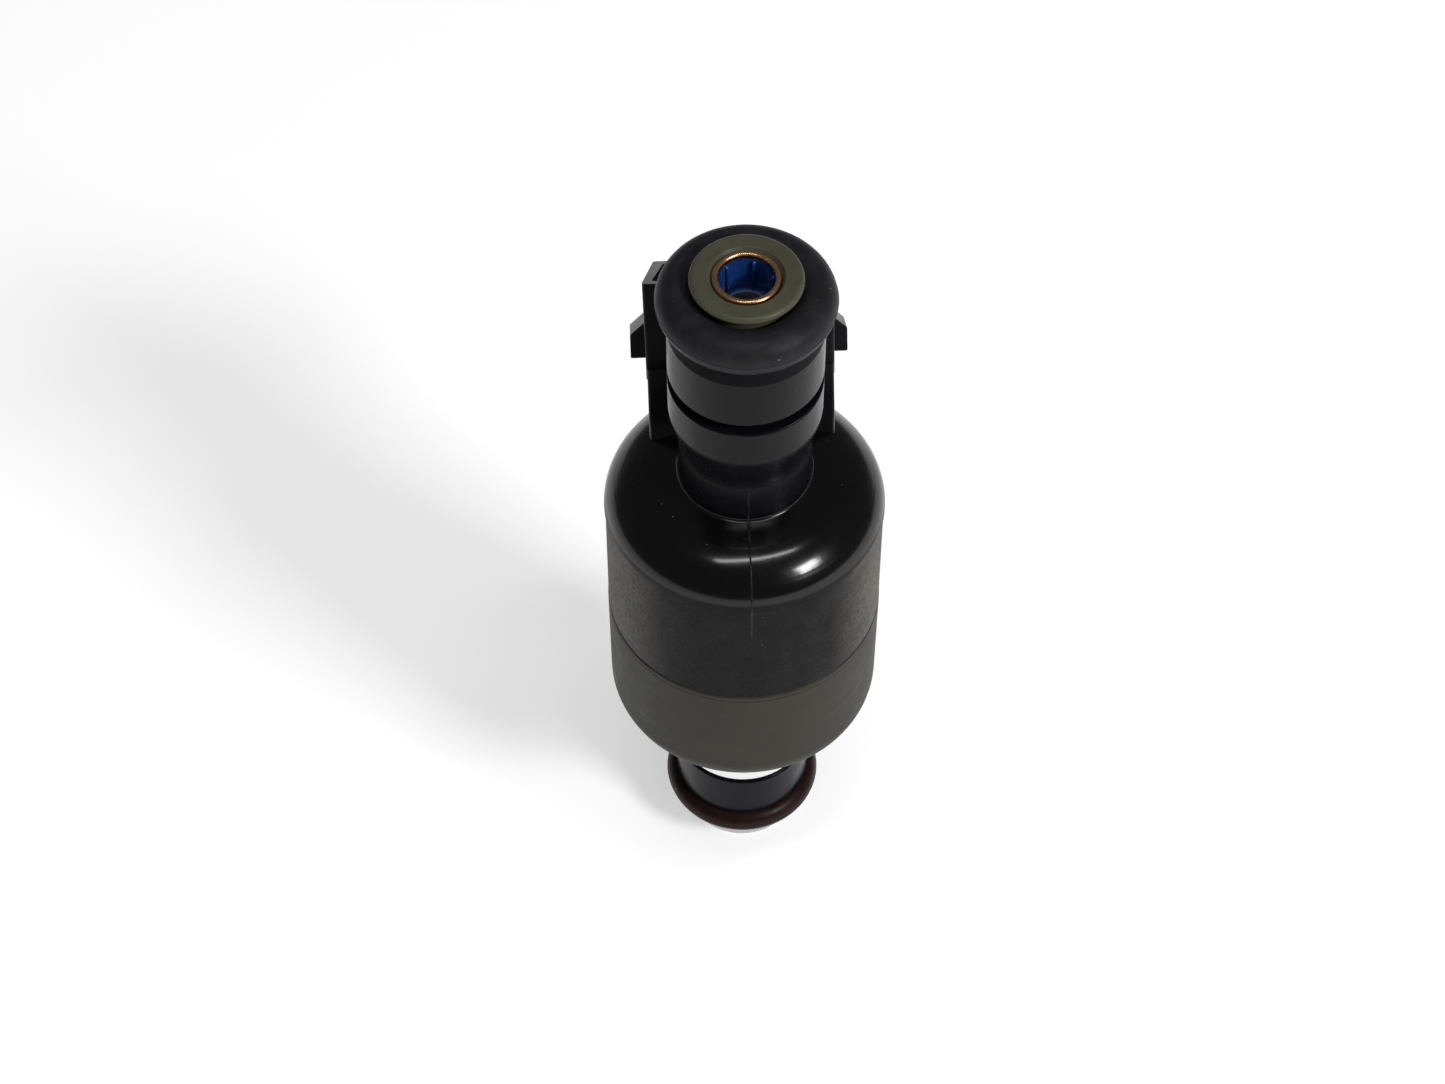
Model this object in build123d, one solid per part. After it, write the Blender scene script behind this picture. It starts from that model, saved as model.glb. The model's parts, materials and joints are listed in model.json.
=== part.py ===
from build123d import *
import os
from math import cos, radians, sin

# Top-feed fuel injector. Sizes are in millimetres. Z is the injector's axis, up towards the fuel inlet.
# The origin is on that axis at the nozzle's bottom face, and the electrical connector faces +Y.

# Gaps
FIT = 0.03  # radial gap between pieces that are pressed or moulded together
RUN = 0.06  # radial gap round the sliding armature and ball
LIFT = 0.10  # valve travel from shut to fully open
STOP_GAP = 0.05  # kept between the fully open armature and the pole face
SEAT_GAP = 0.04  # kept between the shut ball and its seat

# Turns about Z of the four slots in the ball guide and the four windows in the filter
QUARTERS = (45, 135, 225, 315)

# Nozzle, from the bottom up
TIP_R = 5.2
TIP_LIP_TOP = 3.1
LOWER_RING_OD = 14.43
LOWER_RING_SECTION = 2.62
LOWER_RING_Z = 4.5
LOWER_GROOVE_R = 4.57
SLEEVE_R = 6.3
SLEEVE_BOTTOM = 5.86
SLEEVE_TOP = 11.3
NECK_R = 6.15
NOZZLE_BORE_R = 3.9
ROLLED_EDGE_R = 3.2
ROLLED_EDGE_TOP = 0.5
O_RING_PLAY = 0.1  # room above and below the lower O-ring in its groove

# Valve
SPRAY_TIP_TOP = 3.4
SPRAY_CONE_TOP_R = 1.2
SPRAY_CONE_BOTTOM_R = 2.6
DIRECTOR_TOP = 3.68
SPRAY_HOLE_R = 0.15
SPRAY_HOLE_CIRCLE_R = 0.6
SPRAY_HOLES = 6
SEAT_TOP = 8.0
SEAT_SEAL_Z = 5.7
ORIFICE_R = 0.95
BALL_R = 1.6
BALL_Z = 8.3
GUIDE_TOP = 12.35
GUIDE_LAND_TOP = 9.6
GUIDE_COUNTERBORE_R = 2.7
GUIDE_SLOT_WIDTH = 0.9
ARMATURE_R = 3.6
ARMATURE_BOTTOM = 21.5
ARMATURE_TOP = 30.5
STEM_R = 1.35
STEM_BOTTOM = 9.0
FUEL_BORE_R = 0.7
FUEL_BORE_BOTTOM = 12.0
CROSS_HOLE_R = 0.45
CROSS_HOLE_Z = 13.5
FLUTE_R = 0.5
SPRING_SEAT = 27.0
SPRING_TOP = 35.0
SPRING_POCKET_R = 1.35
SPRING_MEAN_R = 1.1
SPRING_WIRE_R = 0.14
SPRING_PITCH = 0.9
SPRING_END_GAP = 0.05
ADJUSTER_BORE_R = 0.9
ADJUSTER_LENGTH = 7.5
ADJUSTER_SLIT = 0.4

# Steel can round the coil
CAN_R = 12.1
CAN_BOTTOM = 19.8
CAN_FLOOR = 22.3
CAN_LEDGE = 34.35
CAN_TOP = 44.05
CAN_BORE_R = 9.8
CAN_SPIGOT_R = 10.8
CAN_BOTTOM_ROUND = 3.4

# Coil stack inside the can
HOUSING_FLANGE_R = 8.6
HOUSING_FLANGE_TOP = 24.2
GUIDE_TUBE_R = 4.95
GUIDE_TUBE_TOP = 29.0
LOWER_WASHER_TOP = 25.25
BOBBIN_BOTTOM = 25.3
BOBBIN_TOP = 42.05
BOBBIN_BORE_R = 5.0
BOBBIN_CORE_R = 5.7
BOBBIN_FLANGE_R = 9.6
BOBBIN_FLANGE = 1.0
COIL_R = 9.2
FLUX_WASHER_TOP = 44.0
POLE_R = 4.95
POLE_FACE = ARMATURE_TOP + LIFT + STOP_GAP
POLE_SHOULDER = 44.6
POLE_SPIGOT_R = 3.0
POLE_TOP = 48.4
POLE_BORE_R = 1.6
SEAL_SECTION = 0.7
SEAL_GROOVE_DEPTH = 0.73
SEAL_GROOVE_WIDTH = 0.84
HOUSING_SEAL_Z = (CAN_BOTTOM + CAN_FLOOR) / 2
LOWER_COIL_SEAL_Z = 26.65
UPPER_COIL_SEAL_Z = 40.2

# Inlet end
TUBE_R = 3.72
TUBE_BORE_R = 2.82
FLANGE_R = 4.6
FLANGE_BOTTOM = 75.25
FLANGE_TOP_ROUND = 0.38
FLANGE_BOTTOM_ROUND = 0.12
INLET_TOP = 75.8
COUNTERSINK_R = 3.08
COUNTERSINK_DEPTH = 0.35
UPPER_RING_OD = 14.58
UPPER_RING_SECTION = 3.53
UPPER_RING_Z = 73.1
FILTER_MOUTH_R = 2.27
FILTER_RING_TOP = 75.78
FILTER_RING_BOTTOM = 75.3
FILTER_TOP = 75.25
FILTER_COLLAR_BOTTOM = 71.2
FILTER_LEDGE = 71.85
FILTER_R = 2.4
FILTER_BORE_R = 1.98
FILTER_BOTTOM = 61.0
FILTER_FOOT = 1.0
FILTER_WINDOW_WIDTH = 2.4
FILTER_WINDOW_BOTTOM = 62.6
FILTER_WINDOW_TOP = 70.6
MESH_R = 1.95
MESH_BORE_R = 1.72
MESH_TOP = 71.95

# Overmoulded plastic body
WALL_TOP_R = 11.98
WALL_BOTTOM_R = 12.06
RIM_R = 12.07
RIM_Z = 46.9
DOME_CORNER_Z = 48.4
DOME_CORNER_ROUND = 3.2
DOME_BEND_R = 9.78
DOME_BEND_Z = 50.75
DOME_BEND_ROUND = 5.3
NECK_BASE_R = 5.75
NECK_BASE_Z = 51.6
BODY_NECK_R = 5.52
COLLAR_R = 6.42
NECK_FLARE_BOTTOM = 56.2
NECK_FLARE_ROUND = 4.0
COLLAR_BOTTOM = 60.0
CLIP_GROOVE_R = 5.25
CLIP_GROOVE_BOTTOM = 63.7
CLIP_GROOVE_TOP = 65.0
COLLAR_EDGE = 69.9
BODY_TOP = 71.25

# Connector, in its own frame: across X, depth away from the injector's neck, and up along its own axis
CONNECTOR_TILT = 34.0
CONNECTOR_FOOT_Y = 4.5
CONNECTOR_FOOT_Z = 51.3
SHELL_DEPTH = 7.7
SHELL_LEDGE = 5.5
SHELL_MOUTH = 12.9
SHELL_HALF_WIDTH = 8.2
SHELL_NARROWING = 1.15  # how much less the half width is on the far side
SHELL_FLARE = 0.12  # how much more the half width is at the mouth
STEM_HALF_WIDTH = 8.0
STEM_PROUD = 0.5
STEM_FOOT = -3.0
SOCKET_FLOOR = 3.4
SOCKET_WALL = 0.85
TAB_X = 9.3
TAB_BOTTOM = 5.85
TAB_TOP = 7.9
TAB_SLOPE_TOP = 9.5
TAB_SLOPE_X = 7.4
TAB_ROOT_X = 7.0
TAB_WIDTH = 3.4
BLADE_SPACING = 5.0
BLADE_WIDTH = 2.8
BLADE_THICKNESS = 0.8
BLADE_TOP = 9.5
BLADE_CHAMFER = 0.25
BLADE_LEG_Y = 6.6
BLADE_LEG_BOTTOM = 42.7
TOWER_TOP = 45.9
TOWER_WIDTH = 3.6
TOWER_THICKNESS = 2.0
TOWER_GAP = 0.1
TAIL_R = 0.18
TAIL_X = 4.75

connector = Plane(
    origin=(0, CONNECTOR_FOOT_Y, CONNECTOR_FOOT_Z),
    x_dir=(1, 0, 0),
    z_dir=(0, sin(radians(CONNECTOR_TILT)), cos(radians(CONNECTOR_TILT))),
)


def turned(*corners):
    """A solid turned about the Z axis from (radius, height) or (radius, height, rounding) corners."""
    points = [(corner[0], 0, corner[1]) for corner in corners]
    rounding = [corner[2] if len(corner) > 2 else 0 for corner in corners]
    return revolve(make_face(FilletPolyline(*points, radius=rounding, close=True)), Axis.Z)


def tube(inner, outer, bottom, top, rounding=0):
    """A plain turned ring."""
    return turned(
        (inner, bottom, rounding), (outer, bottom, rounding), (outer, top, rounding), (inner, top, rounding)
    )


def block(width, depth, bottom, top, x=0, y=0):
    """A box standing on the height bottom, centred at x and y."""
    return Pos(x, y, bottom) * extrude(Rectangle(width, depth), top - bottom)


def seal(outer_r, section, height):
    """An O-ring."""
    return Pos(0, 0, height) * Torus(outer_r - section / 2, section / 2)


def seal_groove(radius, height):
    """The corners of an inner seal's groove in an upright wall, from the bottom up."""
    low = height - SEAL_GROOVE_WIDTH / 2
    high = height + SEAL_GROOVE_WIDTH / 2
    floor = radius - SEAL_GROOVE_DEPTH
    return (radius, low), (floor, low), (floor, high), (radius, high)


def drill(radius, bottom, top, x=0, y=0):
    """A vertical cylinder used as a drill."""
    return Pos(x, y, bottom) * extrude(Circle(radius), top - bottom)


# Nozzle


def spray_housing():
    groove_bottom = LOWER_RING_Z - LOWER_RING_SECTION / 2 - O_RING_PLAY
    groove_top = SLEEVE_BOTTOM - O_RING_PLAY
    return turned(
        (ROLLED_EDGE_R, 0, 0.1),
        (TIP_R, 0, 0.25),
        (TIP_R, groove_bottom, 0.15),
        (LOWER_GROOVE_R, groove_bottom, 0.2),
        (LOWER_GROOVE_R, groove_top, 0.1),
        (TIP_R, groove_top),
        (TIP_R, SLEEVE_TOP + 0.05),
        (NECK_R, SLEEVE_TOP + 0.05, 0.3),
        *seal_groove(NECK_R, HOUSING_SEAL_Z),
        (NECK_R, CAN_FLOOR + 0.02),
        (HOUSING_FLANGE_R, CAN_FLOOR + 0.02),
        (HOUSING_FLANGE_R, HOUSING_FLANGE_TOP),
        (GUIDE_TUBE_R, HOUSING_FLANGE_TOP),
        *seal_groove(GUIDE_TUBE_R, LOWER_COIL_SEAL_Z),
        (GUIDE_TUBE_R, GUIDE_TUBE_TOP),
        (ARMATURE_R + RUN, GUIDE_TUBE_TOP),
        (ARMATURE_R + RUN, GUIDE_TOP + FIT),
        (NOZZLE_BORE_R, GUIDE_TOP + FIT),
        (NOZZLE_BORE_R, ROLLED_EDGE_TOP),
        (ROLLED_EDGE_R, ROLLED_EDGE_TOP),
    )


def nozzle_sleeve():
    return turned(
        (TIP_R + FIT, SLEEVE_BOTTOM),
        (SLEEVE_R, SLEEVE_BOTTOM, 0.15),
        (SLEEVE_R, SLEEVE_TOP, 0.25),
        (TIP_R + FIT, SLEEVE_TOP),
    )


def spray_tip():
    bottom = ROLLED_EDGE_TOP + FIT
    outer = NOZZLE_BORE_R - FIT
    return turned(
        (SPRAY_CONE_TOP_R, SPRAY_TIP_TOP),
        (SPRAY_CONE_BOTTOM_R, bottom, 0.1),
        (outer, bottom),
        (outer, SPRAY_TIP_TOP),
    )


def director_plate():
    plate = drill(NOZZLE_BORE_R - 2 * FIT, SPRAY_TIP_TOP + FIT, DIRECTOR_TOP)
    circle = PolarLocations(SPRAY_HOLE_CIRCLE_R, SPRAY_HOLES)
    return plate - [place * drill(SPRAY_HOLE_R, SPRAY_TIP_TOP, DIRECTOR_TOP + 1) for place in circle]


def valve_seat():
    touch = BALL_R * cos(radians(45))
    rise = BALL_Z - 2 * touch - SEAT_GAP / cos(radians(45))  # the 45 degree cone is at height rise + radius
    outer = NOZZLE_BORE_R - FIT
    return turned(
        (ORIFICE_R, DIRECTOR_TOP + FIT),
        (outer, DIRECTOR_TOP + FIT),
        *seal_groove(outer, SEAT_SEAL_Z),
        (outer, SEAT_TOP),
        (SEAT_TOP - rise, SEAT_TOP),
        (ORIFICE_R, ORIFICE_R + rise),
    )


def seat_seal():
    return seal(NOZZLE_BORE_R - FIT, SEAL_SECTION, SEAT_SEAL_Z)


def ball_guide():
    body = turned(
        (BALL_R + RUN, SEAT_TOP + FIT),
        (NOZZLE_BORE_R - FIT, SEAT_TOP + FIT),
        (NOZZLE_BORE_R - FIT, GUIDE_TOP),
        (GUIDE_COUNTERBORE_R, GUIDE_TOP),
        (GUIDE_COUNTERBORE_R, GUIDE_LAND_TOP),
        (BALL_R + RUN, GUIDE_LAND_TOP),
    )
    slot = block(
        GUIDE_SLOT_WIDTH, GUIDE_COUNTERBORE_R, SEAT_TOP, GUIDE_LAND_TOP + 1, y=GUIDE_COUNTERBORE_R / 2
    )
    return body - [Rot(0, 0, angle) * slot for angle in QUARTERS]


# Moving valve


def valve_ball():
    return Pos(0, 0, BALL_Z) * Sphere(BALL_R)


def armature():
    body = turned(
        (0, STEM_BOTTOM),
        (STEM_R, STEM_BOTTOM),
        (STEM_R, ARMATURE_BOTTOM, 0.4),
        (ARMATURE_R, ARMATURE_BOTTOM, 0.4),
        (ARMATURE_R, ARMATURE_TOP, 0.15),
        (SPRING_POCKET_R, ARMATURE_TOP),
        (SPRING_POCKET_R, SPRING_SEAT),
        (FUEL_BORE_R, SPRING_SEAT),
        (FUEL_BORE_R, FUEL_BORE_BOTTOM),
        (0, FUEL_BORE_BOTTOM),
    )
    cross_hole = Pos(0, 0, CROSS_HOLE_Z) * Rot(0, 90, 0) * Cylinder(CROSS_HOLE_R, 2 * STEM_R + 1)
    flute = drill(FLUTE_R, ARMATURE_BOTTOM - 1, ARMATURE_TOP + 1)
    flutes = [place * flute for place in PolarLocations(ARMATURE_R, 4)]
    return body - cross_hole - Rot(0, 0, 90) * cross_hole - flutes - valve_ball()


def core_spring():
    height = SPRING_TOP - SPRING_SEAT - 2 * (SPRING_WIRE_R + SPRING_END_GAP)
    path = Helix(SPRING_PITCH, height, SPRING_MEAN_R)
    section = Plane(origin=path @ 0, z_dir=path % 0) * Circle(SPRING_WIRE_R)
    return Pos(0, 0, SPRING_SEAT + SPRING_WIRE_R + SPRING_END_GAP) * sweep(section, path, is_frenet=True)


def adjusting_sleeve():
    top = SPRING_TOP + ADJUSTER_LENGTH
    roll = tube(ADJUSTER_BORE_R, POLE_BORE_R - FIT, SPRING_TOP, top)
    return roll - block(ADJUSTER_SLIT, POLE_BORE_R, SPRING_TOP - 1, top + 1, y=POLE_BORE_R / 2)


# Coil stack


def solenoid_housing():
    return turned(
        (NECK_R + FIT, CAN_BOTTOM, 0.2),
        (CAN_R, CAN_BOTTOM, CAN_BOTTOM_ROUND),
        (CAN_R, CAN_LEDGE, 0.3),
        (CAN_SPIGOT_R, CAN_LEDGE),
        (CAN_SPIGOT_R, CAN_TOP, 0.3),
        (CAN_BORE_R, CAN_TOP),
        (CAN_BORE_R, CAN_FLOOR),
        (NECK_R + FIT, CAN_FLOOR),
    )


def housing_seal():
    return seal(NECK_R, SEAL_SECTION, HOUSING_SEAL_Z)


def lower_washer():
    return tube(GUIDE_TUBE_R + FIT, CAN_BORE_R - FIT, HOUSING_FLANGE_TOP + 0.02, LOWER_WASHER_TOP)


def spacer_ring():
    return tube(ARMATURE_R + 3 * RUN, GUIDE_TUBE_R, GUIDE_TUBE_TOP + 0.02, POLE_FACE - 0.02)


def pole_piece():
    return turned(
        (POLE_BORE_R, POLE_FACE),
        (POLE_R, POLE_FACE),
        *seal_groove(POLE_R, UPPER_COIL_SEAL_Z),
        (POLE_R, POLE_SHOULDER),
        (POLE_SPIGOT_R, POLE_SHOULDER),
        (POLE_SPIGOT_R, POLE_TOP, 0.3),
        (POLE_BORE_R + 0.3, POLE_TOP),
        (POLE_BORE_R, POLE_TOP - 0.8),
    )


def lower_coil_seal():
    return seal(GUIDE_TUBE_R, SEAL_SECTION, LOWER_COIL_SEAL_Z)


def upper_coil_seal():
    return seal(POLE_R, SEAL_SECTION, UPPER_COIL_SEAL_Z)


def bobbin():
    spool = turned(
        (BOBBIN_BORE_R, BOBBIN_BOTTOM),
        (BOBBIN_FLANGE_R, BOBBIN_BOTTOM, 0.3),
        (BOBBIN_FLANGE_R, BOBBIN_BOTTOM + BOBBIN_FLANGE),
        (BOBBIN_CORE_R, BOBBIN_BOTTOM + BOBBIN_FLANGE),
        (BOBBIN_CORE_R, BOBBIN_TOP - BOBBIN_FLANGE),
        (BOBBIN_FLANGE_R, BOBBIN_TOP - BOBBIN_FLANGE),
        (BOBBIN_FLANGE_R, BOBBIN_TOP, 0.3),
        (BOBBIN_BORE_R, BOBBIN_TOP),
    )
    for side in (-1, 1):
        x = side * BLADE_SPACING / 2
        spool += block(TOWER_WIDTH, TOWER_THICKNESS, BOBBIN_TOP - 0.5, TOWER_TOP, x, BLADE_LEG_Y)
        spool -= drill(2 * TAIL_R, BOBBIN_TOP - 2, BOBBIN_TOP + 1, side * TAIL_X, BLADE_LEG_Y)
        spool -= terminal(side)
    return spool


def coil_winding():
    bottom = BOBBIN_BOTTOM + BOBBIN_FLANGE + FIT
    top = BOBBIN_TOP - BOBBIN_FLANGE - FIT
    return tube(BOBBIN_CORE_R + FIT, COIL_R, bottom, top, 0.3)


def flux_washer():
    washer = tube(POLE_R + FIT, CAN_BORE_R - FIT, BOBBIN_TOP + FIT, FLUX_WASHER_TOP)
    inner = BLADE_SPACING / 2 - TOWER_WIDTH / 2 - TOWER_GAP
    outer = TAIL_X + TAIL_R + 3 * TOWER_GAP
    for side in (-1, 1):
        x = side * (inner + outer) / 2
        washer -= block(outer - inner, TOWER_THICKNESS + 2 * TOWER_GAP, BOBBIN_TOP, CAN_TOP, x, BLADE_LEG_Y)
    return washer


def coil_tail(side):
    """The coil wire's end: up beside the bobbin's tower, over its top and against the blade."""
    top = TOWER_TOP + 0.6
    blade_edge = (BLADE_SPACING + BLADE_WIDTH) / 2
    path = FilletPolyline(
        (side * TAIL_X, BLADE_LEG_Y, BOBBIN_TOP - BOBBIN_FLANGE - 0.02),
        (side * TAIL_X, BLADE_LEG_Y, top),
        (side * (blade_edge + 0.01), BLADE_LEG_Y, top),
        radius=[0.5],
    )
    return sweep(Plane(origin=path @ 0, z_dir=path % 0) * Circle(TAIL_R), path)


# Terminals and plastic body


def terminal(side):
    """A flat blade: straight in the socket, bent inside the plastic to stand in the bobbin's tower."""
    depth = SHELL_DEPTH / 2
    turn = connector.from_local_coords(Vector(0, depth, 0))
    bend_up = (BLADE_LEG_Y - turn.Y) / sin(radians(CONNECTOR_TILT))  # where the tilted run reaches the leg
    bend_z = turn.Z + bend_up * cos(radians(CONNECTOR_TILT))
    x = side * BLADE_SPACING / 2
    run = Pos(x, depth, bend_up) * extrude(Rectangle(BLADE_WIDTH, BLADE_THICKNESS), BLADE_TOP - bend_up)
    run = chamfer(run.edges().group_by(Axis.Z)[-1], BLADE_CHAMFER)
    leg = block(BLADE_WIDTH, BLADE_THICKNESS, BLADE_LEG_BOTTOM, bend_z, x, BLADE_LEG_Y)
    elbow = Pos(x, BLADE_LEG_Y, bend_z) * Rot(0, 90, 0) * Cylinder(BLADE_THICKNESS / 2, BLADE_WIDTH)
    return connector * run + leg + elbow


def connector_section(half_width, height, inset=0.0, proud=0.0, rounding=0.35):
    """A cross-section of the connector, wider on the side near the injector's neck."""
    near_half = half_width - inset
    far_half = near_half - SHELL_NARROWING
    near = inset - proud
    far = SHELL_DEPTH - inset
    corners = [(-near_half, near), (near_half, near), (far_half, far), (-far_half, far)]
    return Pos(0, 0, height) * make_face(FilletPolyline(*corners, radius=rounding, close=True))


def connector_body():
    """Stem, shell and side tabs of the connector, before its socket is cut."""
    shell_foot = connector_section(SHELL_HALF_WIDTH - SHELL_FLARE, SHELL_LEDGE - 1)
    shell = loft([shell_foot, connector_section(SHELL_HALF_WIDTH, SHELL_MOUTH)])
    stem_section = connector_section(STEM_HALF_WIDTH, STEM_FOOT, proud=STEM_PROUD)
    stem = extrude(stem_section, SHELL_LEDGE - STEM_FOOT)
    tab_corners = [
        (TAB_ROOT_X, TAB_BOTTOM),
        (TAB_X, TAB_BOTTOM),
        (TAB_X, TAB_TOP),
        (TAB_SLOPE_X, TAB_SLOPE_TOP),
        (TAB_ROOT_X, TAB_SLOPE_TOP),
    ]
    tab_profile = make_face(FilletPolyline(*tab_corners, radius=[0, 0.15, 0.25, 0, 0], close=True))
    tab = extrude(Plane.XZ * tab_profile, TAB_WIDTH / 2, both=True)
    tab = Pos(0, SHELL_DEPTH / 2, 0) * tab
    return connector * (shell + stem + tab + mirror(tab, Plane.YZ))


def socket():
    """The hollow of the connector, open at its mouth."""
    floor = connector_section(SHELL_HALF_WIDTH - SHELL_FLARE, SOCKET_FLOOR, SOCKET_WALL)
    mouth = connector_section(SHELL_HALF_WIDTH, SHELL_MOUTH + 0.5, SOCKET_WALL)
    return connector * loft([floor, mouth])


def overmould_body():
    outer = turned(
        (0, RIM_Z - 3),
        (WALL_TOP_R - 1, RIM_Z - 3),
        (WALL_TOP_R, RIM_Z),
        (RIM_R, RIM_Z, 0.04),
        (RIM_R, DOME_CORNER_Z, DOME_CORNER_ROUND),
        (DOME_BEND_R, DOME_BEND_Z, DOME_BEND_ROUND),
        (NECK_BASE_R, NECK_BASE_Z, 0.3),
        (BODY_NECK_R, NECK_FLARE_BOTTOM, NECK_FLARE_ROUND),
        (COLLAR_R, COLLAR_BOTTOM, NECK_FLARE_ROUND),
        (COLLAR_R, CLIP_GROOVE_BOTTOM, 0.1),
        (CLIP_GROOVE_R, CLIP_GROOVE_BOTTOM),
        (CLIP_GROOVE_R, CLIP_GROOVE_TOP),
        (COLLAR_R, CLIP_GROOVE_TOP, 0.1),
        (COLLAR_R, COLLAR_EDGE, 0.15),
        (COLLAR_R - 0.6, BODY_TOP, 0.2),
        (0, BODY_TOP),
    )
    wall = turned(
        (0, CAN_LEDGE + FIT),
        (WALL_BOTTOM_R, CAN_LEDGE + FIT, 0.08),
        (WALL_TOP_R, RIM_Z + 0.2),
        (0, RIM_Z + 0.2),
    )
    coil_space = turned(
        (0, CAN_LEDGE - 1),
        (CAN_SPIGOT_R + FIT, CAN_LEDGE - 1),
        (CAN_SPIGOT_R + FIT, CAN_TOP + FIT),
        (POLE_R + FIT, CAN_TOP + FIT),
        (POLE_R + FIT, POLE_SHOULDER + FIT),
        (TUBE_R + FIT, POLE_SHOULDER + FIT),
        (TUBE_R + FIT, BODY_TOP + 1),
        (0, BODY_TOP + 1),
    )
    body = outer + wall + connector_body() - coil_space - socket()
    for side in (-1, 1):
        x = side * BLADE_SPACING / 2
        tower = block(TOWER_WIDTH, TOWER_THICKNESS, BOBBIN_TOP, TOWER_TOP, x, BLADE_LEG_Y)
        body = body - tower - terminal(side) - coil_tail(side)
    return body


# Inlet end


def inlet_tube():
    return turned(
        (POLE_SPIGOT_R + FIT, POLE_SHOULDER + 0.05),
        (TUBE_R, POLE_SHOULDER + 0.05),
        (TUBE_R, FLANGE_BOTTOM, 0.2),
        (FLANGE_R, FLANGE_BOTTOM, FLANGE_BOTTOM_ROUND),
        (FLANGE_R, INLET_TOP, FLANGE_TOP_ROUND),
        (COUNTERSINK_R, INLET_TOP, 0.08),
        (TUBE_BORE_R, INLET_TOP - COUNTERSINK_DEPTH, 0.08),
        (TUBE_BORE_R, POLE_TOP + 0.05),
        (POLE_SPIGOT_R + FIT, POLE_TOP + 0.05),
    )


def filter_ring():
    return turned(
        (FILTER_MOUTH_R, FILTER_RING_BOTTOM, 0.05),
        (TUBE_BORE_R - FIT, FILTER_RING_BOTTOM, 0.05),
        (TUBE_BORE_R - FIT, FILTER_RING_TOP, 0.23),
        (FILTER_MOUTH_R, FILTER_RING_TOP, 0.23),
    )


def filter_frame():
    """The filter's plastic basket: a collar with a ledge in it, four ribs and a closed foot."""
    basket = turned(
        (0, FILTER_BOTTOM),
        (FILTER_R, FILTER_BOTTOM, 0.2),
        (FILTER_R, FILTER_COLLAR_BOTTOM),
        (TUBE_BORE_R - FIT, FILTER_COLLAR_BOTTOM, 0.1),
        (TUBE_BORE_R - FIT, FILTER_TOP),
        (FILTER_MOUTH_R, FILTER_TOP),
        (FILTER_MOUTH_R, FILTER_LEDGE),
        (FILTER_BORE_R, FILTER_LEDGE),
        (FILTER_BORE_R, FILTER_BOTTOM + FILTER_FOOT),
        (0, FILTER_BOTTOM + FILTER_FOOT),
    )
    reach = FILTER_R + 1
    window = block(FILTER_WINDOW_WIDTH, reach, FILTER_WINDOW_BOTTOM, FILTER_WINDOW_TOP, y=reach / 2)
    return basket - [Rot(0, 0, angle) * window for angle in QUARTERS]


def filter_mesh():
    return tube(MESH_BORE_R, MESH_R, FILTER_BOTTOM + FILTER_FOOT + FIT, MESH_TOP)


parts = {
    "spray_housing": spray_housing(),
    "nozzle_sleeve": nozzle_sleeve(),
    "lower_o_ring": seal(LOWER_RING_OD / 2, LOWER_RING_SECTION, LOWER_RING_Z),
    "spray_tip": spray_tip(),
    "director_plate": director_plate(),
    "valve_seat": valve_seat(),
    "seat_seal": seat_seal(),
    "ball_guide": ball_guide(),
    "valve_ball": valve_ball(),
    "armature": armature(),
    "core_spring": core_spring(),
    "adjusting_sleeve": adjusting_sleeve(),
    "solenoid_housing": solenoid_housing(),
    "housing_seal": housing_seal(),
    "lower_washer": lower_washer(),
    "spacer_ring": spacer_ring(),
    "pole_piece": pole_piece(),
    "lower_coil_seal": lower_coil_seal(),
    "upper_coil_seal": upper_coil_seal(),
    "bobbin": bobbin(),
    "coil_winding": coil_winding(),
    "flux_washer": flux_washer(),
    "coil_tail_left": coil_tail(-1),
    "coil_tail_right": coil_tail(1),
    "terminal_left": terminal(-1),
    "terminal_right": terminal(1),
    "overmould_body": overmould_body(),
    "inlet_tube": inlet_tube(),
    "filter_ring": filter_ring(),
    "filter_frame": filter_frame(),
    "filter_mesh": filter_mesh(),
    "upper_o_ring": seal(UPPER_RING_OD / 2, UPPER_RING_SECTION, UPPER_RING_Z),
}

os.makedirs("parts", exist_ok=True)
for name, shape in parts.items():
    export_step(shape, f"parts/{name}.step")
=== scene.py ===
import json
import math

import bmesh
import bpy
from mathutils import Matrix, Vector
from mathutils.bvhtree import BVHTree


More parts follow.
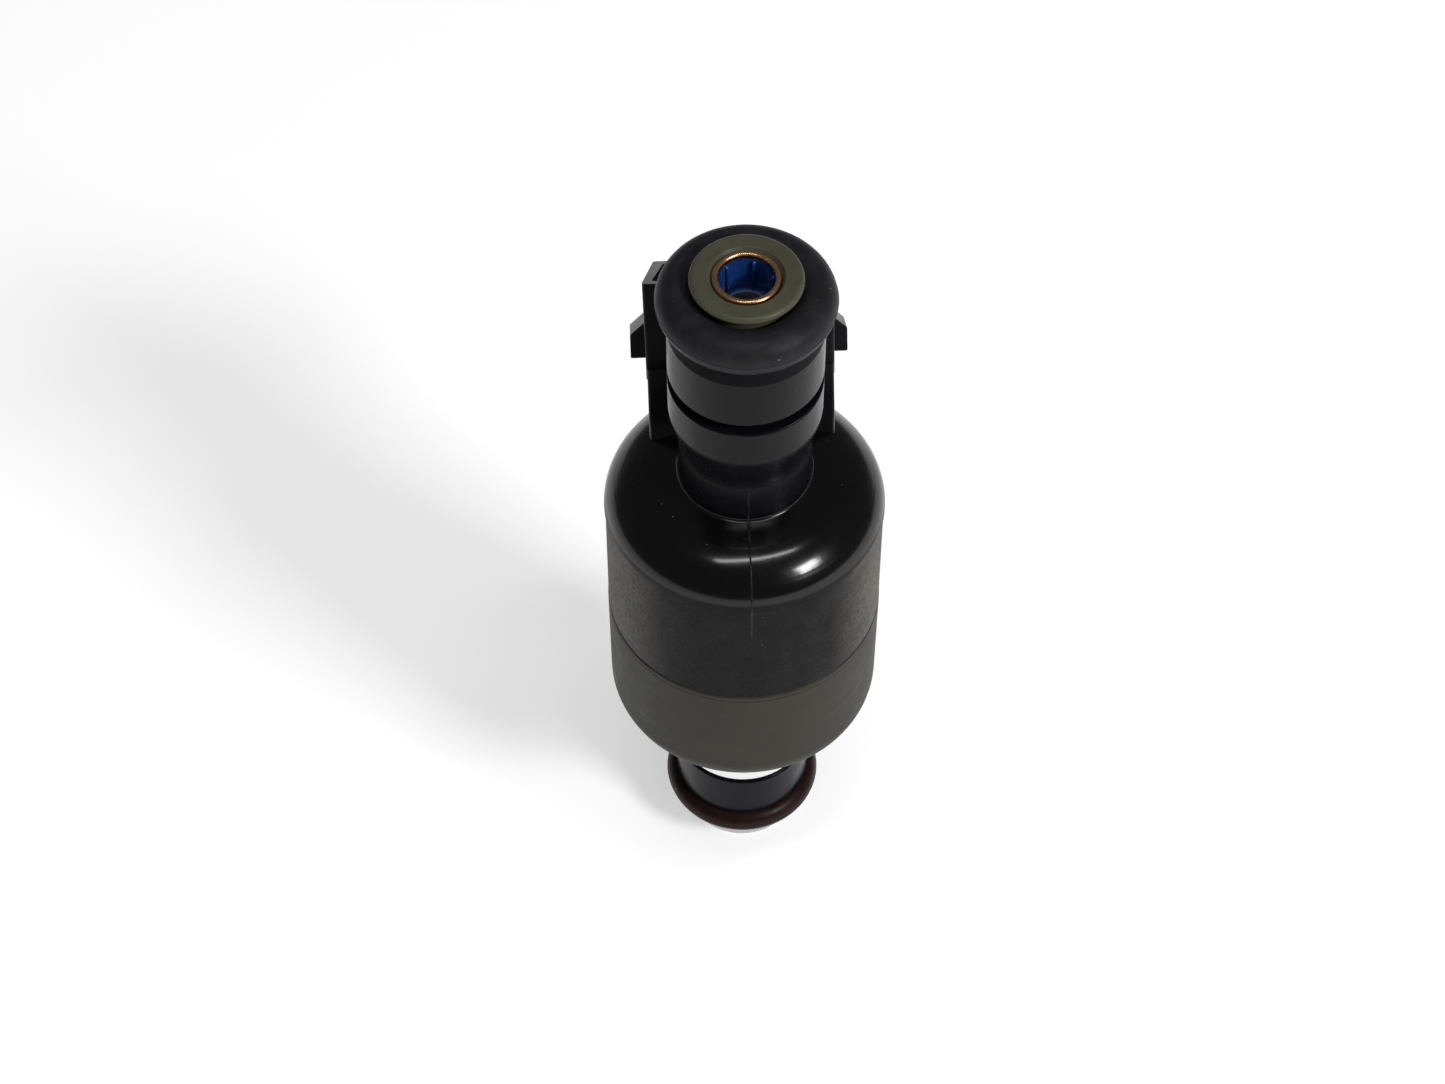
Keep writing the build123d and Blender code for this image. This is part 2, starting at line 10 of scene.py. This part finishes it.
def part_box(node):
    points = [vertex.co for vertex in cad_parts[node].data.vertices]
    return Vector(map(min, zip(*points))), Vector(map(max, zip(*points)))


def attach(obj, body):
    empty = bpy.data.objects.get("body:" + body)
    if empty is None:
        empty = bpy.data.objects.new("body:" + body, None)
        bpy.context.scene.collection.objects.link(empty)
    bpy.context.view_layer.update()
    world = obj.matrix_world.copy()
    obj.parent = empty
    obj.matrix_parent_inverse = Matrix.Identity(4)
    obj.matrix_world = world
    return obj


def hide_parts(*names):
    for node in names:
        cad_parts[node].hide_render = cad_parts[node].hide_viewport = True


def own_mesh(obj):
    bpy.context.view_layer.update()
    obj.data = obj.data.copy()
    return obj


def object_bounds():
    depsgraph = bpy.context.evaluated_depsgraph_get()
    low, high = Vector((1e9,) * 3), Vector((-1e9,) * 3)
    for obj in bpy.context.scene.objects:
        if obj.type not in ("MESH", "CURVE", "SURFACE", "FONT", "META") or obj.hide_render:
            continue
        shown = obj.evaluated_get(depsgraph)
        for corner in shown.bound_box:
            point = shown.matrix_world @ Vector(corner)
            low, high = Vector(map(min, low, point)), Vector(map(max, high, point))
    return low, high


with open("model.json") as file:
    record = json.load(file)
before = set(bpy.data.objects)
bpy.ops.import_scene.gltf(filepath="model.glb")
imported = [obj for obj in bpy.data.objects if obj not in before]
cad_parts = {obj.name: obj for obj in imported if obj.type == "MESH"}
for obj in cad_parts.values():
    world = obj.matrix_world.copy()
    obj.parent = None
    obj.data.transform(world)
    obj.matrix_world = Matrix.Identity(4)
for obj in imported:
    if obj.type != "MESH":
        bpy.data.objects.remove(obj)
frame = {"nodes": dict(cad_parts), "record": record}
cad_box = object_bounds()
nodes = frame["nodes"]

MM = 0.001

# Heights above the nozzle's bottom face where the look changes, in mm
LIP_TOP = (3.0, 4.0)
POLISH_TOP = (13.0, 14.0)
CAN_LINE = 33.75
RIM = 47.8
NECK_BASE = 51.6

# Distances from the injector's axis where the look changes, in mm
# Across this span the wall's ±X sides lighten: brown scuffing together with a painted sheen that stands in
# for grazing reflection
SCUFF_AND_SHEEN_X = (6.5, 11.6)
CONNECTOR_Y = (5.6, 7.0)

ROUND_LINES = (0.03, 0.03, 1.0)  # stretches noise into lines that run round the axis

# Colours used by more than one finish
DUST = (0.16, 0.15, 0.14)
POLISHED = (0.86, 0.86, 0.86)

# Camera and room
SENSOR = 36
LENS = 74.95
NEAR = 0.01
CAMERA_PLACE = (-0.00927, -0.15649, 0.2525)
CAMERA_FORWARD = (0.02803, 0.59444, -0.8036)
CAMERA_RIGHT = (0.99889, -0.04711, 0)
FLOOR_REACH = 3
ROOM_LIGHT = 0.12
LAMP_DISTANCE = 0.9
LAMP_TARGET = (0, 0, 0.04)


class Look:
    """A procedural material, built node by node round its Principled shader."""

    def __init__(self, name, color, roughness, **fixed):
        self.material = bpy.data.materials.new(name)
        self.material.use_nodes = True
        self.tree = self.material.node_tree
        self.shader = self.tree.nodes["Principled BSDF"]
        self.shader.inputs["Base Color"].default_value = (*color, 1)
        self.shader.inputs["Roughness"].default_value = roughness
        self.material.diffuse_color = (*color, 1)
        for socket, value in fixed.items():
            self.shader.inputs[socket.replace("_", " ").title().replace("Ior", "IOR")].default_value = value
        self.place = self.tree.nodes.new("ShaderNodeTexCoord").outputs["Object"]
        self.xyz = self.add("ShaderNodeSeparateXYZ", Vector=self.place).outputs

    def add(self, kind, settings=None, **inputs):
        node = self.tree.nodes.new(kind)
        for key, value in (settings or {}).items():
            setattr(node, key, value)
        for key, value in inputs.items():
            self.put(node.inputs[key.replace("_", " ")], value)
        return node

    def put(self, socket, value):
        if isinstance(value, bpy.types.NodeSocket):
            self.tree.links.new(value, socket)
        elif socket.type == "RGBA":
            socket.default_value = (*value, 1)
        else:
            socket.default_value = value

    def math(self, operation, *values):
        node = self.add("ShaderNodeMath", {"operation": operation})
        for socket, value in zip(node.inputs, values):
            self.put(socket, value)
        return node.outputs[0]

    def ramp(self, value, low, high, out_low=0.0, out_high=1.0, smooth=True):
        """value from low to high becomes out_low to out_high, and stays there beyond them."""
        settings = {"interpolation_type": "SMOOTHSTEP" if smooth else "LINEAR"}
        node = self.add("ShaderNodeMapRange", settings, Value=value)
        for key, number in (("From Min", low), ("From Max", high), ("To Min", out_low), ("To Max", out_high)):
            self.put(node.inputs[key], number)
        return node.outputs["Result"]

    def scaled(self, x, y, z):
        """The surface position in mm, stretched by x, y and z."""
        node = self.add("ShaderNodeVectorMath", {"operation": "MULTIPLY"})
        self.put(node.inputs[0], self.place)
        self.put(node.inputs[1], (x / MM, y / MM, z / MM))
        return node.outputs[0]

    def noise(self, size, detail=3.0, rough=0.55, stretch=(1, 1, 1)):
        """Cloudy noise from 0 to 1 whose blobs are about size mm across."""
        vector = self.scaled(*(s / size for s in stretch))
        node = self.add("ShaderNodeTexNoise", None, Vector=vector, Scale=1.0, Detail=detail, Roughness=rough)
        return node.outputs["Fac"]

    def bands(self, direction, x, y, z):
        """Even waves from 0 to 1 along direction, closer together the larger x, y and z are."""
        settings = {"bands_direction": direction}
        node = self.add("ShaderNodeTexWave", settings, Vector=self.scaled(x, y, z), Scale=1.0)
        return node.outputs["Fac"]

    def specks(self, spacing, size, share):
        """Scattered dots about size mm across: share of the cells, spacing mm apart, have one."""
        cells = self.add("ShaderNodeTexVoronoi", None, Vector=self.scaled(*[1 / spacing] * 3), Scale=1.0)
        chosen = self.add("ShaderNodeSeparateColor", None, Color=cells.outputs["Color"]).outputs[0]
        near = self.ramp(cells.outputs["Distance"], 0.5 * size / spacing, 0.3 * size / spacing)
        return self.math("MULTIPLY", near, self.math("LESS_THAN", chosen, share))

    def mix(self, share, below, above):
        node = self.add("ShaderNodeMix", {"data_type": "RGBA"})
        for index, value in ((0, share), (6, below), (7, above)):
            self.put(node.inputs[index], value)
        return node.outputs[2]

    def color(self, value):
        self.put(self.shader.inputs["Base Color"], value)

    def roughness(self, value):
        self.put(self.shader.inputs["Roughness"], value)

    def bump(self, *layers):
        """Each layer is (height from 0 to 1, depth in mm)."""
        normal = None
        for height, depth in layers:
            node = self.add("ShaderNodeBump", None, Height=height, Distance=depth * MM, Strength=1.0)
            if normal:
                self.put(node.inputs["Normal"], normal)
            normal = node.outputs["Normal"]
        self.put(self.shader.inputs["Normal"], normal)


def along(look, axis):
    """The surface position along axis 0, 1 or 2, in mm."""
    return look.math("DIVIDE", look.xyz[axis], MM)


# Materials


def black_nylon():
    """The body: semi-matt wall whose ±X sides are lightened by brown scuffing and by a painted sheen, glossy
    shoulder, satin neck and connector.
    """
    look = Look("black_nylon", (0.004, 0.004, 0.0045), 0.4, specular_ior_level=0.1, coat_roughness=0.14)
    z = along(look, 2)
    on_wall = look.ramp(z, RIM - 0.2, RIM - 0.5)
    on_neck = look.ramp(z, NECK_BASE + 3, NECK_BASE + 5)
    cloud = look.noise(2.6, 5, 0.62)
    grain = look.noise(0.22, 2)
    # Painted sheen with scuffing: the wall turns lighter and browner towards its ±X sides, partly standing in
    # for grazing reflection there
    from_middle = look.math("ABSOLUTE", along(look, 0))
    sides_scuff_and_sheen = look.math("MULTIPLY", on_wall, look.ramp(from_middle, *SCUFF_AND_SHEEN_X))
    pits = look.noise(0.4, 4, 0.6)
    scuff_and_sheen = look.math("MULTIPLY", sides_scuff_and_sheen, look.ramp(cloud, 0.3, 0.66, 0.45, 1.0))
    scuff_and_sheen = look.math("MULTIPLY", scuff_and_sheen, look.ramp(pits, 0.32, 0.56, 0.45, 1.0))
    dust = look.specks(0.9, 0.16, 0.05)
    above_rim = look.ramp(z, RIM - 0.1, RIM + 0.3)
    on_dome = look.math("MULTIPLY", above_rim, look.ramp(z, NECK_BASE + 1, NECK_BASE))
    color = look.mix(on_wall, (0.006, 0.006, 0.0075), (0.0042, 0.0042, 0.005))
    behind = look.ramp(along(look, 1), *CONNECTOR_Y)
    on_connector = look.math("MULTIPLY", behind, look.ramp(z, NECK_BASE, NECK_BASE + 2))
    color = look.mix(on_dome, color, (0.0016, 0.0016, 0.0022))
    connector = look.mix(cloud, (0.009, 0.0085, 0.0105), (0.015, 0.0145, 0.016))
    color = look.mix(on_connector, color, connector)
    # Mix in the sides' scuffing and painted sheen
    color = look.mix(scuff_and_sheen, color, (0.15, 0.13, 0.112))
    look.color(look.mix(look.math("MULTIPLY", dust, 0.6), color, DUST))
    look.put(look.shader.inputs["Coat Weight"], look.math("MULTIPLY", on_dome, 0.6))
    smooth = look.ramp(on_neck, 0, 1, 0.24, 0.26)
    smooth = look.math("ADD", smooth, look.ramp(cloud, 0.3, 0.7, -0.04, 0.06))
    dull = look.ramp(grain, 0.3, 0.7, 0.46, 0.56)
    dull = look.math("ADD", dull, look.ramp(cloud, 0.3, 0.7, -0.03, 0.08))
    rough = look.add("ShaderNodeMix", {"data_type": "FLOAT"})
    for index, value in ((0, on_wall), (2, smooth), (3, dull)):
        look.put(rough.inputs[index], value)
    look.roughness(rough.outputs[0])
    wall_grain = look.math("MULTIPLY", grain, look.ramp(on_wall, 0, 1, 0.12, 1.0))
    look.bump((cloud, 0.02), (wall_grain, 0.012), (dust, 0.03))
    return look.material


def gloss_nylon():
    look = Look("black_nylon_gloss", (0.003, 0.003, 0.005), 0.2, specular_ior_level=0.07)
    cloud = look.noise(1.8, 4)
    look.roughness(look.ramp(cloud, 0.3, 0.7, 0.15, 0.26))
    look.color(look.mix(look.specks(0.8, 0.12, 0.05), (0.003, 0.003, 0.006), (0.1, 0.09, 0.08)))
    look.bump((cloud, 0.012))
    return look.material


def olive(name, color, pale, turning, base_rough, shine):
    """Olive plating over turned steel, with a dark line scribed round the can below its top edge."""
    look = Look(name, color, base_rough, specular_ior_level=shine)
    cloud = look.noise(3.0, 5, 0.62)
    lines = look.noise(0.16, 3, 0.6, stretch=(0.03, 0.03, 1.0))
    fine = look.noise(0.12, 2)
    tone = look.math("MULTIPLY", look.ramp(cloud, 0.3, 0.72), 0.6)
    from_line = look.math("ABSOLUTE", look.math("SUBTRACT", along(look, 2), CAN_LINE))
    line = look.ramp(from_line, 0.1, 0.04)
    worn = look.mix(look.math("ADD", tone, look.ramp(lines, 0.35, 0.75, 0, 0.35)), color, pale)
    look.color(look.mix(look.math("MULTIPLY", line, 0.7), worn, (0.006, 0.006, 0.005)))
    rough = look.ramp(lines, 0.3, 0.7, base_rough - 0.07, base_rough + 0.07)
    look.roughness(look.math("ADD", rough, look.ramp(cloud, 0.3, 0.7, -0.04, 0.05)))
    look.bump((lines, turning), (fine, 0.004), (look.math("SUBTRACT", 1.0, line), 0.04))
    return look.material


def metal(name, color, rough, grain, stretch=(1, 1, 1), tarnish=None):
    """Bare metal in patches of two tones, with tool marks stretched by stretch."""
    look = Look(name, color, rough, metallic=1.0)
    cloud = look.noise(1.2, 4, 0.6)
    lines = look.noise(0.1, 3, 0.6, stretch=stretch)
    look.color(look.mix(look.ramp(cloud, 0.35, 0.7), color, tarnish or tuple(0.75 * c for c in color)))
    marks = look.ramp(lines, 0.3, 0.7, rough - 0.05, rough + 0.05)
    look.roughness(look.math("ADD", marks, look.ramp(cloud, 0.3, 0.7, -0.03, 0.06)))
    look.bump((lines, grain), (cloud, grain))
    return look.material


def turned_steel():
    """Polished by the sleeve, and satin further up and on the nozzle's lip."""
    look = Look("bright_steel", POLISHED, 0.18, metallic=1.0)
    z = along(look, 2)
    satin = look.math("MAXIMUM", look.ramp(z, *POLISH_TOP), look.ramp(z, *LIP_TOP[::-1]))
    lines = look.noise(0.14, 3, 0.6, stretch=ROUND_LINES)
    polished = look.mix(look.ramp(lines, 0.3, 0.7), POLISHED, (0.78, 0.78, 0.79))
    worn = look.mix(look.ramp(lines, 0.3, 0.7), (0.62, 0.62, 0.62), (0.42, 0.42, 0.43))
    look.color(look.mix(satin, polished, worn))
    rough = look.ramp(satin, 0, 1, 0.16, 0.3)
    look.roughness(look.math("ADD", rough, look.ramp(lines, 0.3, 0.7, -0.04, 0.05)))
    look.bump((lines, 0.004))
    return look.material


def rubber(name, color, bloom, rough, dusty):
    """Satin rubber with pale bloom; dusty scales how many specks lie on it."""
    look = Look(name, color, rough, specular_ior_level=0.12)
    cloud = look.noise(2.0, 4, 0.6)
    grain = look.noise(0.15, 2)
    big = look.specks(1.1, 0.3, 0.1 * dusty)
    small = look.specks(0.45, 0.09, 0.14 * dusty)
    dust = look.math("MAXIMUM", big, look.math("MULTIPLY", small, 0.6))
    tone = look.mix(look.ramp(cloud, 0.3, 0.75), color, bloom)
    look.color(look.mix(look.math("MULTIPLY", dust, 0.6), tone, (0.3, 0.31, 0.31)))
    patches = look.ramp(cloud, 0.3, 0.7, rough - 0.04, rough + 0.06)
    look.roughness(look.math("ADD", patches, look.ramp(grain, 0.3, 0.7, -0.03, 0.03)))
    look.bump((grain, 0.008), (dust, 0.03))
    return look.material


def blue_plastic():
    look = Look("blue_filter", (0.012, 0.05, 0.22), 0.12, specular_ior_level=0.5, coat_weight=0.3)
    cloud = look.noise(1.0, 3)
    look.color(look.mix(cloud, (0.005, 0.024, 0.13), (0.016, 0.07, 0.3)))
    look.roughness(look.ramp(cloud, 0.3, 0.7, 0.08, 0.2))
    look.bump((cloud, 0.02))
    return look.material


def mesh_weave():
    look = Look("filter_mesh", (0.05, 0.07, 0.12), 0.5)
    rounds = look.bands("Z", 12, 12, 12)
    uprights = look.bands("DIAGONAL", 9, 9, 0)
    threads = look.math("MAXIMUM", rounds, uprights)
    look.color(look.mix(threads, (0.006, 0.01, 0.03), (0.14, 0.16, 0.2)))
    look.bump((threads, 0.03))
    return look.material


def nylon(name, color, pale, rough):
    look = Look(name, color, rough)
    cloud = look.noise(1.6, 4)
    look.color(look.mix(cloud, color, pale))
    look.roughness(look.ramp(cloud, 0.3, 0.7, rough - 0.06, rough + 0.06))
    look.bump((look.noise(0.2, 2), 0.01))
    return look.material


def winding():
    look = Look("copper_winding", (0.55, 0.2, 0.07), 0.3, metallic=1.0, coat_weight=0.6)
    turns_and_groove_shade = look.bands("Z", 1, 1, 1.1)
    # Painted shade: the copper darkens in the grooves between the turns and brightens on their crests
    look.color(look.mix(turns_and_groove_shade, (0.2, 0.06, 0.02), (0.6, 0.24, 0.09)))
    look.bump((turns_and_groove_shade, 0.12))
    return look.material


looks = {
    "black_nylon": black_nylon(),
    "black_nylon_gloss": gloss_nylon(),
    "olive_can": olive("olive_can", (0.03, 0.029, 0.022), (0.048, 0.045, 0.034), 0.012, 0.5, 0.12),
    "olive_tube": olive("olive_tube", (0.07, 0.07, 0.046), (0.095, 0.095, 0.066), 0.005, 0.34, 0.22),
    "bright_steel": turned_steel(),
    "bright_steel_inner": metal("bright_steel_inner", (0.55, 0.55, 0.55), 0.28, 0.004, ROUND_LINES),
    "chrome_ball": metal("chrome_ball", (0.75, 0.75, 0.76), 0.06, 0.0005),
    "spring_steel": metal("spring_steel", (0.5, 0.5, 0.52), 0.25, 0.002),
    "brass_spacer": metal("brass_spacer", (0.7, 0.52, 0.25), 0.28, 0.003, ROUND_LINES),
    "copper_winding": winding(),
    "copper_ring": metal("copper_ring", (0.74, 0.4, 0.19), 0.26, 0.004, (1, 1, 1), (0.5, 0.33, 0.17)),
    "tinned_blade": metal("tinned_blade", (0.7, 0.69, 0.66), 0.3, 0.004, (1, 1, 0.1)),
    "bobbin_nylon": nylon("bobbin_nylon", (0.5, 0.45, 0.34), (0.58, 0.54, 0.43), 0.45),
    "blue_filter": blue_plastic(),
    "filter_mesh": mesh_weave(),
    "black_rubber": rubber("black_rubber", (0.015, 0.015, 0.0185), (0.025, 0.024, 0.029), 0.46, 1.6),
    "brown_rubber": rubber("brown_rubber", (0.016, 0.006, 0.005), (0.024, 0.01, 0.008), 0.36, 0.5),
    "inner_rubber": rubber("inner_rubber", (0.03, 0.022, 0.022), (0.04, 0.03, 0.03), 0.5, 0.0),
}

for part in frame["record"]["subparts"]:
    mesh = nodes[part["node"]].data
    mesh.materials.clear()
    mesh.materials.append(looks[part["material_slot"]])


# Details finer than the CAD


def closed_strip(name, sections, ring, slot):
    """A closed solid swept through sections, each a loop of points in metres."""
    mesh = bmesh.new()
    loops = [[mesh.verts.new(point) for point in section] for section in sections]
    pairs = list(zip(loops, loops[1:] + loops[:1])) if ring else list(zip(loops, loops[1:]))
    for loop, following in pairs:
        for i in range(len(loop)):
            j = (i + 1) % len(loop)
            mesh.faces.new((loop[i], loop[j], following[j], following[i]))
    if not ring:
        mesh.faces.new(loops[0][::-1])
        mesh.faces.new(loops[-1])
    bmesh.ops.recalc_face_normals(mesh, faces=mesh.faces)
    data = bpy.data.meshes.new(name)
    mesh.to_mesh(data)
    mesh.free()
    data.polygons.foreach_set("use_smooth", [True] * len(data.polygons))
    data.materials.append(looks[slot])
    piece = bpy.data.objects.new(name, data)
    bpy.context.scene.collection.objects.link(piece)
    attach(piece, "injector")
    return piece


def moulding_line():
    """The raised line that the mould's two halves leave down the front of the body."""
    body = nodes["overmould_body"]
    surface = BVHTree.FromPolygons(
        [vertex.co for vertex in body.data.vertices], [face.vertices for face in body.data.polygons]
    )
    front = cad_box[0][1] + 0.003 * MM  # the line stays behind the front of the CAD box
    low, high, step = 43.5, 56.5, 0.1
    fade_in, fade_out = 5, 3
    half_width, proud, root = 0.11, 0.045, 0.05
    across = (-1.0, -0.45, 0.0, 0.45, 1.0, 0.5, -0.5)
    raised = (-0.6, 0.8, 1.0, 0.8, -0.6, -1.0, -1.0)
    sections = []
    count = round((high - low) / step)
    for i in range(count + 1):
        z = low + (high - low) * i / count
        point, normal, _, _ = surface.ray_cast(Vector((0, -0.02, z * MM)), Vector((0, 1, 0)))
        fade = min(1.0, i * step / fade_in, (count - i) * step / fade_out)
        section = []
        for x, up in zip(across, raised):
            lift = proud * up * fade if up > 0 else root * up
            place = point + normal * lift * MM + Vector((x * half_width * MM, 0, 0))
            place.y = max(place.y, front)
            section.append(place)
        sections.append(section)
    piece = closed_strip("body_moulding_line", sections, False, "black_nylon")
    look = Look("moulding_line", (0.012, 0.012, 0.013), 0.35, specular_ior_level=0.12)
    worn = look.noise(0.6, 3)
    look.color(look.mix(look.ramp(worn, 0.35, 0.65), (0.004, 0.004, 0.005), (0.022, 0.021, 0.022)))
    look.roughness(look.ramp(worn, 0.3, 0.7, 0.28, 0.42))
    look.bump((worn, 0.01))
    piece.data.materials[0] = look.material


def ring_flash(name, node, slot):
    """The thin line of flash that an O-ring's mould leaves round its outside."""
    low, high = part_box(node)
    radius = high[0] / MM
    middle = (low[2] + high[2]) / 2 / MM
    sunk, proud, half_height, wobble, steps = 0.06, 0.035, 0.09, 0.006, 180
    profile = (
        (radius - sunk, middle - half_height),
        (radius + proud, middle),
        (radius - sunk, middle + half_height),
    )
    sections = []
    for step in range(steps):
        angle = math.tau * step / steps
        grow = wobble * (math.sin(3 * angle) + 0.6 * math.sin(7 * angle + 1))
        across, up = MM * math.cos(angle), MM * math.sin(angle)
        sections.append([((r + grow) * across, (r + grow) * up, MM * z) for r, z in profile])
    closed_strip(name, sections, True, slot)


def filter_ribs():
    """The upright ribs on the wall of the filter's collar."""
    low, high = 71.9, 75.1
    inner, outer, half_width, rounding = 2.0, 2.31, 0.13, 0.07
    levels = ((low, 0.0), (high - 0.35, 0.0), (high - 0.1, 0.05), (high, 0.16))  # height, how far cut back
    for number, degrees in enumerate((12, 72, 132, 192, 252, 312)):
        turn = Matrix.Rotation(math.radians(degrees), 3, "Z")
        sections = []
        for z, cut in levels:
            edge = inner + cut
            loop = (
                (edge + rounding, -half_width),
                (edge, -0.5 * half_width),
                (edge, 0.5 * half_width),
                (edge + rounding, half_width),
                (outer, half_width),
                (outer, -half_width),
            )
            sections.append([turn @ Vector((x * MM, y * MM, z * MM)) for x, y in loop])
        closed_strip("filter_rib_%d" % number, sections, False, "blue_filter")


def return_spring():
    """A copy of the CAD spring on a mesh of its own, shown in place of the CAD part, which is hidden."""
    data = nodes["core_spring"].data.copy()
    data.name = "return_spring"
    spring = bpy.data.objects.new("return_spring", data)
    bpy.context.scene.collection.objects.link(spring)
    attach(spring, "injector")
    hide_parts("core_spring")
    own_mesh(spring)


moulding_line()
return_spring()
ring_flash("upper_ring_flash", "upper_o_ring", "black_rubber")
ring_flash("lower_ring_flash", "lower_o_ring", "brown_rubber")
filter_ribs()


# Stage


def aimed(position, forward, right):
    """A world matrix at position that looks along forward."""
    forward = Vector(forward).normalized()
    right = Vector(right).normalized()
    up = right.cross(forward)
    turn = Matrix((right, up, -forward)).transposed().to_4x4()
    return Matrix.Translation(Vector(position)) @ turn


def softbox(name, azimuth, elevation, size, watts):
    """An area light aimed at the middle of the injector."""
    lamp = bpy.data.lights.new(name, "AREA")
    lamp.shape = "RECTANGLE"
    lamp.size, lamp.size_y = size
    lamp.energy = watts
    az, el = math.radians(azimuth), math.radians(elevation)
    away = Vector((math.cos(el) * math.cos(az), math.cos(el) * math.sin(az), math.sin(el)))
    place = Matrix.Translation(away * LAMP_DISTANCE + Vector(LAMP_TARGET))
    lamp_object = bpy.data.objects.new(name, lamp)
    lamp_object.matrix_world = place @ away.to_track_quat("Z", "Y").to_matrix().to_4x4()
    bpy.context.scene.collection.objects.link(lamp_object)


floor_mesh = bpy.data.meshes.new("floor")
corners = [(x * FLOOR_REACH, y * FLOOR_REACH, 0) for x, y in ((-1, -1), (1, -1), (1, 1), (-1, 1))]
floor_mesh.from_pydata(corners, [], [(0, 1, 2, 3)])
floor = bpy.data.objects.new("floor", floor_mesh)
bpy.context.scene.collection.objects.link(floor)
floor_look = Look("floor", (0.88, 0.88, 0.88), 0.9, specular_ior_level=0.0, emission_strength=0.5)
floor_look.shader.inputs["Emission Color"].default_value = (1, 1, 1, 1)
floor_mesh.materials.append(floor_look.material)

softbox("window", -40, 38, (0.2, 0.16), 4.2)
softbox("overhead", -72, 79, (0.6, 0.07), 2.0)

world = bpy.data.worlds.new("room")
world.use_nodes = True
world.node_tree.nodes["Background"].inputs["Color"].default_value = (1, 1, 1, 1)
world.node_tree.nodes["Background"].inputs["Strength"].default_value = ROOM_LIGHT
bpy.context.scene.world = world

camera_data = bpy.data.cameras.new("camera")
camera_data.sensor_width = SENSOR
camera_data.lens = LENS
camera_data.clip_start = NEAR
camera = bpy.data.objects.new("camera", camera_data)
camera.matrix_world = aimed(CAMERA_PLACE, CAMERA_FORWARD, CAMERA_RIGHT)
bpy.context.scene.collection.objects.link(camera)
bpy.context.scene.camera = camera
bpy.context.scene.view_settings.view_transform = "Standard"
bpy.context.scene.view_settings.look = "None"
